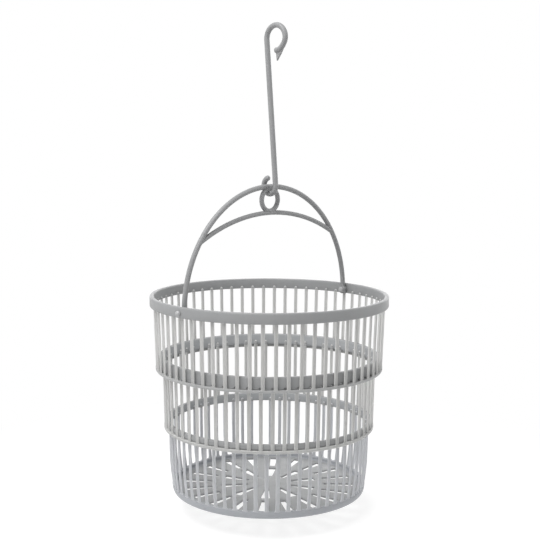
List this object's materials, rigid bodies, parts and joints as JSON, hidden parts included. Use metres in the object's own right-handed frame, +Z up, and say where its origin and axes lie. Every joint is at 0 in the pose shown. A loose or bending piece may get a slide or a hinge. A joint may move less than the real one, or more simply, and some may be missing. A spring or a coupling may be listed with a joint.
{
  "type": "peg basket",
  "caption": "Hanging clothes-peg basket: stepped, slatted round body in nested mouldings, a swinging double-bow handle with a ring eye, and a long barbed line hook.",
  "frame": {"origin": "the line's seat: the top of the hook's bend, on its inside", "axes": "+Z up, X along the handle's pivot pins, the hook in the YZ plane with its shank on the -Y side of its loop"},
  "size_m": [0.2256, 0.22, 0.4288],
  "materials": {
    "hook_plastic": "satin light grey",
    "handle_plastic": "satin light grey",
    "pin_plastic": "satin light grey",
    "basket_plastic": "satin light grey"
  },
  "bodies": {
    "hook": {"hook": "hook_plastic"},
    "handle": {"handle": "handle_plastic"},
    "upper_ring": {"upper_ring": "basket_plastic", "pivot_pin_left": "pin_plastic", "pivot_pin_right": "pin_plastic"},
    "lower_basket": {"lower_basket": "basket_plastic"}
  },
  "joints": [
    {"name": "hook_swing", "type": "hinge", "parent": "hook", "child": "handle", "pos_m": [0, 0.00703, -0.14146], "axis": [1, 0, 0], "range_deg": [-60, 60]},
    {"name": "basket_tilt", "type": "hinge", "parent": "handle", "child": "upper_ring", "pos_m": [0, 0.00703, -0.24636], "axis": [1, 0, 0], "range_deg": [-75, 75]},
    {"name": "basket_nest", "type": "slide", "parent": "upper_ring", "child": "lower_basket", "axis": [0, 0, 1], "range_m": [0, 0.044]}
  ]
}
